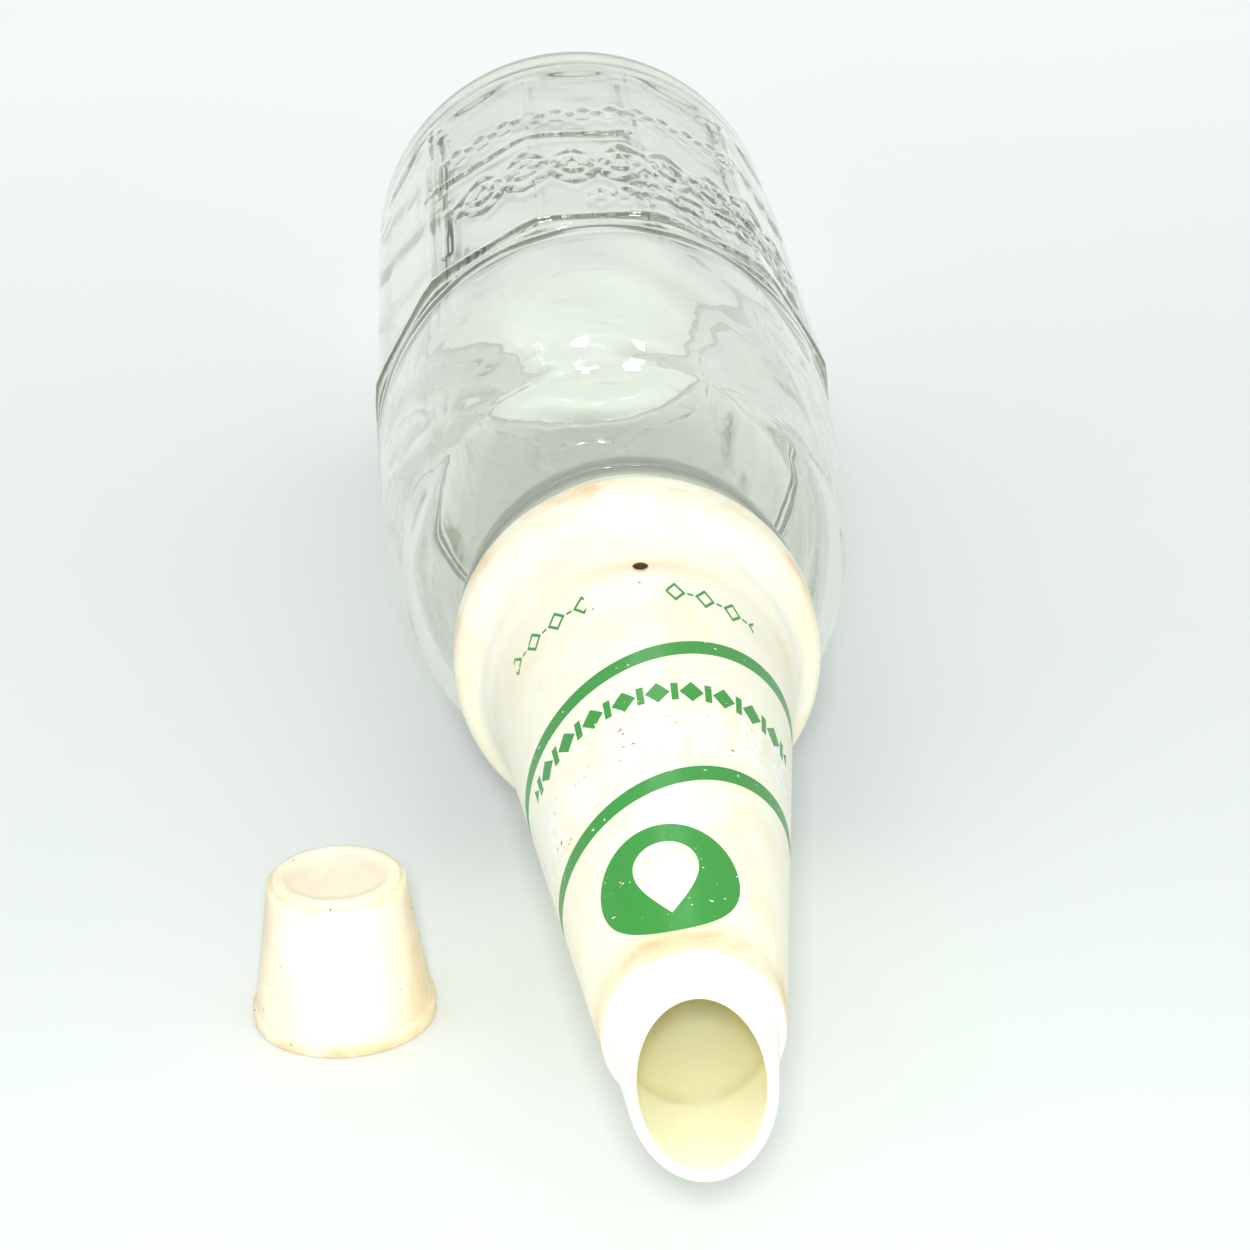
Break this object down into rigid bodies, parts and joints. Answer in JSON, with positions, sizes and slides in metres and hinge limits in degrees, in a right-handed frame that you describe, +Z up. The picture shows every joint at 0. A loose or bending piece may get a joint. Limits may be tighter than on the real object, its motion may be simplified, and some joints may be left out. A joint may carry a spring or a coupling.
{
  "type": "glass oil bottle with pourer",
  "caption": "Facetted clear glass oil bottle lying on its side, with a screw-on tapered plastic pourer that has a slanted spout, and its push-on cap standing beside it.",
  "frame": {"origin": "centre of the whole box on the surface that the bottle and cap stand on", "axes": "+Z up; +Y along the bottle's axis from the spout to the base; +X to the right seen from the spout, with the cap on the -X side"},
  "size_m": [0.1123, 0.3976, 0.0908],
  "materials": {
    "glass": "clear moulded soda-lime glass, slightly grey-green",
    "pourer_plastic": "aged ivory polyethylene with green print",
    "cap_plastic": "aged ivory polyethylene",
    "washer_rubber": "matt"
  },
  "bodies": {
    "bottle": {"glass_bottle": "glass"},
    "washer": {"sealing_washer": "washer_rubber"},
    "pourer": {"pourer": "pourer_plastic"},
    "cap": {"cap": "cap_plastic"}
  },
  "joints": [
    {"name": "thread_travel", "type": "slide", "parent": "bottle", "child": "washer", "axis": [0, -1, 0], "range_m": [0, 0.0102]},
    {"name": "pourer_turn", "type": "hinge", "parent": "washer", "child": "pourer", "pos_m": [0.01075, 0, 0.0454], "axis": [0, -1, 0], "range_deg": [0, 720]},
    {"name": "cap_lift", "type": "slide", "parent": "bottle", "child": "cap", "axis": [0, 0, 1], "range_m": [0, 0.08]}
  ],
  "couplings": [
    {"joint": "thread_travel", "follows": "pourer_turn", "m_per_rad": 0.00079577}
  ]
}
